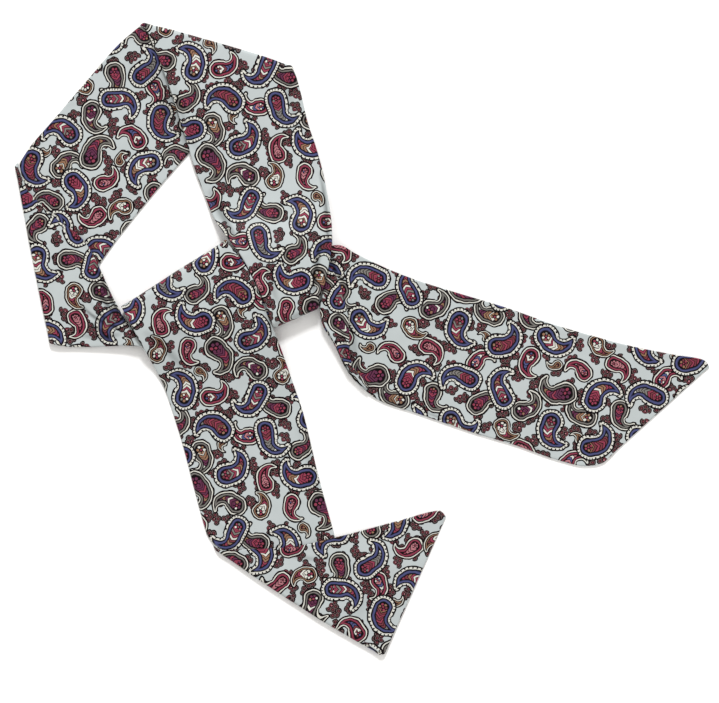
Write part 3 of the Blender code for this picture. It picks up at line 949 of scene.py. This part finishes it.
def ticks(graph, across, along, depth, pitch):
    """Where the ticks across a white band are, at an even pace round its edge: by angle round
    the head, and by the run along either side of the body."""
    round_head = (-along).math("ARCTAN2", across.math("ABSOLUTE")) * -OUTLINES["blue"].head
    beside = along * graph.mix("FLOAT", across > 0.0, INSIDE_BEND, OUTSIDE_BEND)
    travel = graph.mix("FLOAT", along > 0.0, round_head, beside)
    beat = (travel / pitch).math("FRACT")
    return (beat < TICK.share) * depth.math("COMPARE", TICK.middle, TICK.half)


def paisley_print(graph, place, silk):
    """The whole print at a place on the cloth, in millimetres: the ground, the berries, then
    the motifs in the chart's order, each over the last. Only the topmost motif is drawn, from
    its across, along and depth."""
    state = tag = (0.0, 0.0, 1.0)
    for number, motif in enumerate(CHART):
        drawn, inside = paisley(graph, place, motif)
        form = OUTLINES[motif.kind]
        core = form.head * motif.size - BANDS[form.dress].core
        state = graph.mix("VECTOR", inside, state, drawn)
        tag = graph.mix("VECTOR", inside, tag, (float(form.dress), number * SEED_STEP, core))
    across, along, edge = state.parts()
    dress, seed, core = tag.parts()
    depth = -edge
    inner = core_flower(graph, across, along, seed, core, dress, silk)
    bands, covered = dressed(graph, depth, dress, silk)
    drawn = graph.mix("RGBA", covered, inner, bands)
    is_tick = ticks(graph, across, along, depth, silk.tick / MM) * (dress < BLUE + 0.5)
    drawn = graph.mix("RGBA", is_tick, drawn, silk.ink)
    ground = silk.ground
    for scatter in SCATTERS:
        berry, is_berry = berries(graph, place, silk, scatter)
        ground = graph.mix("RGBA", is_berry, ground, berry)
    return graph.mix("RGBA", depth > 0.0, ground, drawn)


def printed_twill(silk):
    """Printed silk twill, on the cloth's own coordinates: the paisley print, with painted drape shade and
    sheen in slow random patches and painted shade in tight creases, on a fine slanting weave with a satin
    gloss."""
    name = "paisley_silk_twill"
    if name in bpy.data.materials:
        return bpy.data.materials[name]
    made = bpy.data.materials.new(name)
    made.use_nodes = True
    graph = Graph(made.node_tree)
    cloth = graph.node("ShaderNodeUVMap", {}, uv_map=PRINT_MAP)
    turned = {"Vector": cloth, "Rotation": (0.0, 0.0, silk.turn), "Scale": (1 / MM, 1 / MM, 1.0)}
    place = graph.node("ShaderNodeMapping", turned)
    slow = {"Vector": place, "Scale": DRAWN_PACE, "Detail": 1.0}
    wander = graph.node("ShaderNodeTexNoise", slow, "Color", noise_dimensions="2D")
    wander = wander * (DRAWN, DRAWN, 0.0) + (-DRAWN / 2, -DRAWN / 2, 0.0)
    drawn = paisley_print(graph, place + wander, silk)

    # painted drape shade and sheen: slow random patches, lighter and darker
    slow = {"Vector": place, "Scale": DRAPE_SHADE_PACE, "Detail": 2.0}
    drape_shade_noise = graph.node("ShaderNodeTexNoise", slow, "Fac")
    drape_shade_range = {"Value": drape_shade_noise, "To Min": 1 - DRAPE_SHADE_DEPTH, "To Max": 1 + DRAPE_SHADE_DEPTH}
    painted_shade = graph.node("ShaderNodeMapRange", drape_shade_range)
    # painted shade in tight creases, read from the points' attribute
    crease = graph.node("ShaderNodeAttribute", {}, "Fac", attribute_name=CREASE_SHADE_ATTRIBUTE)

    u, v, _ = (cloth * (1 / MM)).parts()
    slant = ((u + v) * (2 * np.pi / (silk.twill / MM) / np.sqrt(2))).math("SINE")
    thread = (v * (2 * np.pi / THREAD)).math("SINE")
    weave = thread * THREAD_SHARE + slant
    rough = {"Value": weave, "From Min": -1 - THREAD_SHARE, "From Max": 1 + THREAD_SHARE}
    rough["To Min"], rough["To Max"] = ROUGHNESS
    raised = {"Height": weave, "Strength": WEAVE_BUMP, "Distance": WEAVE_DEPTH * MM}
    finish = {
        # the print darkened and lightened by the painted drape shade and sheen, and darkened by painted
        # crease shade
        "Base Color": drawn * (painted_shade * (crease * -CREASE_SHADE + 1.0)),
        "Roughness": graph.node("ShaderNodeMapRange", rough),
        "Normal": graph.node("ShaderNodeBump", raised),
        **GLOSS,
    }
    shader = made.node_tree.nodes["Principled BSDF"]
    for socket, value in finish.items():
        graph.put(shader.inputs[socket], value)
    return made


# ---------------------------------------------------------------- the pieces

END_CREASES = (
    Crease(-62.0, -121.0, -14.0, -142.0, -3.0, 5.0, 0.59, 0.0),
    Crease(-8.0, -166.0, 22.0, -128.0, 4.0, 4.0, -0.59, 0.2),
    Crease(-48.0, -118.6, -20.0, -124.0, -1.0, 1.6, -0.59, 0.3),
)
DOWN_CREASES = (
    Crease(-122.0, 4.0, -98.0, -20.0, 2.0, 2.2, -0.94, 0.2),
    Crease(-117.0, 12.0, -84.0, -6.0, 3.0, 3.0, 0.77, 0.0),
    Crease(-112.0, -22.0, -101.0, -58.0, -2.0, 2.4, -0.68, 0.3),
    Crease(-58.0, 40.0, -40.0, -8.0, -3.0, 2.6, -0.85, 0.3),
    Crease(-84.0, -96.0, -66.0, -110.0, -2.0, 2.6, 0.77, 0.2),
    Crease(-36.0, -48.0, -24.0, -92.0, 1.0, 2.2, -0.51, 0.2),
)
RIGHT_BAND_CREASES = (
    Crease(-85.4, 84.0, -66.5, 50.0, -0.8, 2.2, -1.44, 0.3),
    Crease(-23.6, 94.0, -19.0, 46.0, 1.4, 0.95, -1.1, 0.1),
    Crease(-26.8, 24.0, -22.4, 56.0, 1.0, 1.4, -1.36, 0.3),
    Crease(-30.6, 20.0, -29.0, 50.0, -1.0, 1.6, 0.85, 0.2),
    Crease(-46.0, 18.0, -52.0, 44.0, 1.5, 2.0, -0.77, 0.2),
    Crease(-92.0, 104.0, -106.0, 142.0, 1.0, 2.0, -0.68, 0.3),
    Crease(-46.0, 150.0, -38.0, 118.0, 2.0, 2.2, -0.59, 0.2),
)
UPPER_CREASES = (
    Crease(-115.0, 160.0, -94.8, 97.0, 0.0, 3.2, -1.3, 0.0),
    Crease(-120.0, 158.0, -103.0, 118.0, -2.0, 2.0, -0.8, 0.3),
    Crease(-108.0, 128.0, -132.0, 158.0, 3.0, 4.0, -0.51, 0.1),
    Crease(-150.0, 66.0, -172.0, 104.0, -3.0, 4.0, 0.51, 0.1),
)
LOWER_CREASES = (
    Crease(-133.4, 14.0, -120.0, -6.0, 0.0, 1.2, -0.8, 0.0),
    Crease(-146.0, 30.0, -131.0, 6.0, 0.6, 0.9, -1.3, 0.3),
    Crease(-158.0, 20.0, -136.0, 6.0, -2.0, 1.2, -1.1, 0.4),
    Crease(-150.0, 17.0, -133.0, 3.0, -0.6, 0.8, -1.0, -0.2),
    Crease(-150.8, 43.5, -137.2, 14.0, 0.5, 0.8, -1.19, 0.2),
    Crease(-151.5, 34.0, -134.0, 10.0, -1.5, 1.5, -1.19, 0.3),
    Crease(-156.0, 30.0, -139.0, 9.0, -1.5, 1.8, 0.77, 0.2),
    Crease(-152.0, 9.0, -139.5, -3.0, 0.8, 1.1, -1.02, 0.3),
    Crease(-158.0, 2.0, -134.0, 2.6, -1.2, 1.5, -0.85, 0.2),
    Crease(-180.0, 76.0, -176.0, 20.0, 2.0, 3.0, 0.59, 0.1),
)
TAIL_CREASES = (
    Crease(-20.5, 30.0, -17.5, 2.0, 0.8, 0.9, -1.3, 0.3),
    Crease(-13.5, 12.0, -6.0, -20.0, 1.6, 1.0, -1.2, 0.4),
    Crease(-17.5, 44.0, -8.0, 30.0, -1.0, 1.1, -1.0, 0.3),
    Crease(-11.5, 19.6, -4.0, -22.0, 3.0, 3.0, -1.1, 0.4),
    Crease(-17.0, 22.0, -12.0, -12.0, 2.0, 4.0, 0.9, 0.0),
    Crease(-17.6, 50.0, -15.0, 24.0, 0.6, 1.2, -1.36, 0.3),
    Crease(-18.8, 3.0, -5.0, -21.6, -0.8, 0.6, -1.02, 0.2),
    Crease(0.6, -25.0, 29.0, -38.9, -1.6, 0.8, -0.9, 0.2),
    Crease(33.0, -40.3, 64.0, -50.9, -0.2, 0.8, -0.75, 0.2),
    Crease(74.0, -54.1, 106.0, -64.5, 0.3, 0.8, -0.6, 0.2),
    Crease(16.0, 22.0, 52.0, -2.0, 3.0, 4.5, -0.51, 0.2),
    Crease(96.0, 2.0, 118.0, -30.0, -3.0, 5.0, 0.51, 0.0),
)
PLEAT_CREASES = (Crease(-14.5, 18.0, -8.5, -12.0, 1.0, 1.2, -0.5, 0.2),)


def declare(made, node):
    """Gives a finished piece its material, parents it to the body it moves with, and hides the imported
    part that it stands in for."""
    made.data.materials.append(printed_twill(bpy.context.scene.scarf_print))
    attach(made, BODY)
    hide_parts(node)


def laid_area(rulings):
    """One ply's area, in square metres: each step between two rulings is two triangles."""
    left, right = rulings[:, 0:3], rulings[:, 3:6]
    first = np.cross(right[:-1] - left[:-1], left[1:] - left[:-1])
    second = np.cross(right[:-1] - right[1:], left[1:] - right[1:])
    doubled = np.linalg.norm(first, axis=1).sum() + np.linalg.norm(second, axis=1).sum()
    return float(doubled) / 2 * MM**2


def cut_of(rulings):
    """The cut all round a stretch, in metres: both plies' width square to its longer edge,
    and how far its edges reach along that one, when it is unrolled."""
    place, way, width = unroll(rulings)
    left, right = place - way * width / 2, place + way * width / 2
    along = max(left[-1] - left[0], right[-1] - right[0], key=abs)
    along /= abs(along)
    reach = np.ptp((np.concatenate((left, right)) / along).real)
    square = 2 * np.abs((way * width / along).imag).max()
    return float(min(CUT_WIDTH, square)) * MM, float(reach) * MM


class ScarfOperator(bpy.types.Operator):
    """Shared by the operators that make one stretch of the scarf from its table of rulings and
    the folds at its ends."""

    bl_options = {"REGISTER", "UNDO"}
    node = ""
    table = ()
    first_fold = None
    last_fold = None
    start = (0.0, 0.0)  # the cloth's own coordinates where it starts, in millimetres
    held = "laid"
    rests_on = ("floor",)
    creases = ()
    sewn_at = None  # "start" or "end" where the scarf ends

    def rulings(self, pitch):
        parts = [smooth(self.table, pitch)]
        if self.first_fold:
            parts.insert(0, round_fold(self.first_fold, into=False))
        if self.last_fold:
            parts.append(round_fold(self.last_fold))
        return np.vstack(parts)

    def execute(self, context):
        sizes = context.scene.scarf_cloth
        rulings = self.rulings(sizes.pitch / MM)
        made = tube(self.node + "_cloth", rulings, self.creases, sizes, self.start, self.sewn_at)
        flat = cut_of(rulings)
        area = min(2 * laid_area(rulings), flat[0] * flat[1])
        declare(made, self.node)
        return {"FINISHED"}


class SCARF_OT_turned_end(ScarfOperator):
    """Makes the short end, turned up over the tail with a soft fold at its left."""

    bl_idname = "scarf.turned_end"
    bl_label = "Turned End"
    node = "tail_end_turned"
    table = TURNED_END
    last_fold = END_FOLD
    start = (12.0, 5.0)
    held = "folded"
    rests_on = ("tail_down", "floor")
    creases = END_CREASES
    sewn_at = "start"


class SCARF_OT_tail_down(ScarfOperator):
    """Makes the tail from the turned end up over the knot, to the fold at the loop's foot."""

    bl_idname = "scarf.tail_down"
    bl_label = "Tail Down"
    node = "tail_down"
    table = TAIL_DOWN
    last_fold = LOOP_BOTTOM_FOLD
    start = (40.0, 22.0)
    held = "folded"
    rests_on = ("knot_core", "band_left_lower", "floor")
    creases = DOWN_CREASES


class SCARF_OT_right_band(ScarfOperator):
    """Makes the loop's right side, from the knot up to the fold at the top."""

    bl_idname = "scarf.right_band"
    bl_label = "Right Band"
    node = "band_right"
    table = BAND_RIGHT
    first_fold = KNOT_FOLD
    last_fold = LOOP_TOP_FOLD
    start = (3.0, 40.0)
    held = "folded"
    rests_on = ("knot_core", "tail_right", "band_left_upper", "floor")
    creases = RIGHT_BAND_CREASES


class SCARF_OT_left_upper(ScarfOperator):
    """Makes the loop's left side, flat on the table."""

    bl_idname = "scarf.left_upper"
    bl_label = "Left Upper"
    node = "band_left_upper"
    table = BAND_LEFT_UPPER
    start = (25.0, 61.0)
    creases = UPPER_CREASES


class SCARF_OT_left_lower(ScarfOperator):
    """Makes the band turned back over itself and gathered in under the tail."""

    bl_idname = "scarf.left_lower"
    bl_label = "Left Lower"
    node = "band_left_lower"
    table = BAND_LEFT_LOWER
    first_fold = LOOP_LEFT_FOLD
    start = (55.0, 12.0)
    held = "folded"
    rests_on = ("band_left_upper", "floor")
    creases = LOWER_CREASES


class SCARF_OT_right_tail(ScarfOperator):
    """Makes the long tail from the knot to its slanted end."""

    bl_idname = "scarf.right_tail"
    bl_label = "Right Tail"
    node = "tail_right"
    table = TAIL_RIGHT
    start = (31.0, 33.0)
    creases = TAIL_CREASES
    sewn_at = "end"


class SCARF_OT_pleat(ScarfOperator):
    """Makes the pleat that lies on the long tail's root, from the tail's own rulings moved up
    by one layer."""

    bl_idname = "scarf.pleat"
    bl_label = "Pleat"
    node = "tail_right_pleat"
    start = (8.0, 70.0)
    held = "folded"
    rests_on = ("tail_right",)
    creases = PLEAT_CREASES

    def rulings(self, pitch):
        rows = np.array(TAIL_RIGHT, dtype=float)
        edge = np.array(PLEAT_FREE_EDGE)
        places = np.linspace(edge[0, 0], edge[-1, 0], int(PLEAT_RUN / pitch))
        table = rows_at(places, np.arange(len(rows)), rows)
        left, right, crown = table[:, 0:3], table[:, 3:6], table[:, 6]

        def lifted(share):
            place = left + (right - left) * share[:, None]
            place[:, 2] += crown * 4 * share * (1 - share) + LAYER + GAP
            return place

        free = lifted(np.interp(places, edge[:, 0], edge[:, 1]))
        other = lifted(np.full(len(places), PLEAT_RIGHT_SHARE))
        return np.hstack((free, other, np.zeros((len(places), 1))))


def heap_rows():
    """The table's rows at an even pitch along the heap, and how far along it each one is."""
    rows = np.array(KNOT_HEAP, dtype=float)
    far = run_of(rows[:, 0:2])
    places = np.linspace(0, far[-1], HEAP_ROWS)
    return rows_at(places, far, rows), places


def heap_rings(rows):
    """Rings round the layers inside the knot: up the near side, over the top, down the far
    side and back below, with a cubed cosine's groove between one layer and the next."""
    near, away = rows[:, None, 0:2], rows[:, None, 2:4]
    across = (away - near) / np.linalg.norm(away - near, axis=2, keepdims=True)
    rise = np.linspace(0, 1, HEAP_SIDE * HEAP_LAYERS + 1)
    inset = (HEAP_GROOVE * np.abs(np.cos(np.pi * HEAP_LAYERS * rise)) ** 3)[:, None]
    near_z, far_z = (rows[:, 4:5] * rise)[..., None], (rows[:, 5:6] * rise)[..., None]
    near_side = np.concatenate((near + across * inset, near_z), axis=2)
    far_side = np.concatenate((away - across * inset, far_z), axis=2)[:, ::-1]
    share = np.linspace(0, 1, HEAP_ACROSS)[1:-1, None]
    over = near_side[:, -1:] + (far_side[:, :1] - near_side[:, -1:]) * share
    under = far_side[:, -1:] + (near_side[:, :1] - far_side[:, -1:]) * share
    return np.concatenate((near_side, over, far_side, under), axis=1)


def heap_faces(ring, places):
    """Faces along the rings and across both ends, with the cloth's own coordinates: the run
    along the heap and the way round it."""
    way_round = np.cumsum(np.linalg.norm(np.roll(ring, -1, 1) - ring, axis=2), axis=1)
    row_count, count = ring.shape[:2]
    j = np.arange(count)
    k = (j + 1) % count
    i = np.arange(row_count - 1)[:, None]
    near, far = i * count, (i + 1) * count
    faces = np.stack((near + j, far + j, far + k, near + k), axis=2)
    run = np.broadcast_to(places[:, None], way_round.shape)
    here = np.stack((run, way_round), axis=2) * MM
    ahead = np.roll(here, -1, axis=1)
    ahead[:, -1, 1] = here[:, -1, 1] + MM
    uv = np.stack((here[i, j], here[i + 1, j], ahead[i + 1, j], ahead[i, j]), axis=2)
    a = np.arange(count // 2 - 1)
    strip = np.stack((a, count - 1 - a, count - 2 - a, a + 1), axis=1)
    last = row_count - 1
    faces = np.concatenate((faces.reshape(-1, 4), strip[:, ::-1], last * count + strip))
    first_cap, last_cap = here[0][strip[:, ::-1]], here[last][strip]
    uv = np.concatenate([part.reshape(-1, 2) for part in (uv, first_cap, last_cap)])
    return faces, uv


class SCARF_OT_knot_core(bpy.types.Operator):
    """Makes the layers inside the knot as one heap, grooved at its sides between them."""

    bl_idname = "scarf.knot_core"
    bl_label = "Knot Core"
    bl_options = {"REGISTER", "UNDO"}

    def execute(self, context):
        rows, places = heap_rows()
        ring = heap_rings(rows)
        faces, uv = heap_faces(ring, places)
        made = piece("knot_core_cloth", ring.reshape(-1, 3), faces, uv)
        declare(made, "knot_core")
        return {"FINISHED"}


class SCARF_OT_stage(bpy.types.Operator):
    """Sets the pale floor, the soft light and the camera straight above the scarf."""

    bl_idname = "scarf.stage"
    bl_label = "Stage"
    bl_options = {"REGISTER", "UNDO"}

    def execute(self, context):
        scene = context.scene
        sizes = scene.scarf_stage

        def stand(name, data, place=(0.0, 0.0, 0.0)):
            made = bpy.data.objects.new(name, data)
            made.location = place
            scene.collection.objects.link(made)
            return made

        mesh = bpy.data.meshes.new("floor")
        corners = [(x * FLOOR_REACH, y * FLOOR_REACH, 0) for x, y in ((-1, -1), (1, -1), (1, 1), (-1, 1))]
        mesh.from_pydata(corners, [], [(0, 1, 2, 3)])
        paint = bpy.data.materials.new("floor_paint")
        paint.use_nodes = True
        shader = paint.node_tree.nodes["Principled BSDF"]
        shader.inputs["Base Color"].default_value = (*sizes.floor, 1.0)
        shader.inputs["Roughness"].default_value = FLOOR_ROUGHNESS
        shader.inputs["Specular IOR Level"].default_value = 0.0
        mesh.materials.append(paint)
        stand("floor", mesh)

        light = bpy.data.lights.new("key", "AREA")
        light.energy = sizes.key
        light.size = sizes.key_size
        to_origin = (-Vector(KEY_PLACE)).to_track_quat("-Z", "Y")
        stand("key", light, KEY_PLACE).rotation_euler = to_origin.to_euler()
        scene.world = bpy.data.worlds.new("studio")
        scene.world.use_nodes = True
        sky = scene.world.node_tree.nodes["Background"]
        sky.inputs["Color"].default_value = (*sizes.sky, 1.0)
        sky.inputs["Strength"].default_value = sizes.fill
        scene.view_settings.view_transform = "Standard"

        camera = bpy.data.cameras.new("camera")
        camera.lens = sizes.lens
        camera.clip_end = FAR_SIGHT
        x, y, z = (part * MM for part in LOOKED_AT)
        above = camera.lens / camera.sensor_width * sizes.width
        scene.camera = stand("camera", camera, (x, y, z + above))
        return {"FINISHED"}


STEPS = (
    SCARF_OT_turned_end,
    SCARF_OT_tail_down,
    SCARF_OT_right_band,
    SCARF_OT_left_upper,
    SCARF_OT_left_lower,
    SCARF_OT_right_tail,
    SCARF_OT_pleat,
    SCARF_OT_knot_core,
    SCARF_OT_stage,
)


class SCARF_PT_panel(bpy.types.Panel):
    """Lists the scarf's sizes and colours, and the steps that make it."""

    bl_label = "Skinny Scarf"
    bl_idname = "SCARF_PT_panel"
    bl_space_type = "VIEW_3D"
    bl_region_type = "UI"
    bl_category = "Scarf"

    def draw(self, context):
        for kept_as in GROUPS:
            group = getattr(context.scene, kept_as)
            box = self.layout.box()
            for name in group.bl_rna.properties.keys():
                if name not in ("rna_type", "name"):
                    box.prop(group, name)
        for step in STEPS:
            self.layout.operator(step.bl_idname)


CLASSES = (*GROUPS.values(), *STEPS, SCARF_PT_panel)


def register():
    for each in CLASSES:
        bpy.utils.register_class(each)
    for kept_as, group in GROUPS.items():
        setattr(bpy.types.Scene, kept_as, bpy.props.PointerProperty(type=group))


def unregister():
    for kept_as in GROUPS:
        delattr(bpy.types.Scene, kept_as)
    for each in reversed(CLASSES):
        bpy.utils.unregister_class(each)


def main():
    register()
    bpy.ops.scarf.stage()
    bpy.ops.scarf.turned_end()
    bpy.ops.scarf.tail_down()
    bpy.ops.scarf.right_band()
    bpy.ops.scarf.left_upper()
    bpy.ops.scarf.left_lower()
    bpy.ops.scarf.right_tail()
    bpy.ops.scarf.pleat()
    bpy.ops.scarf.knot_core()


if __name__ == "__main__":
    main()
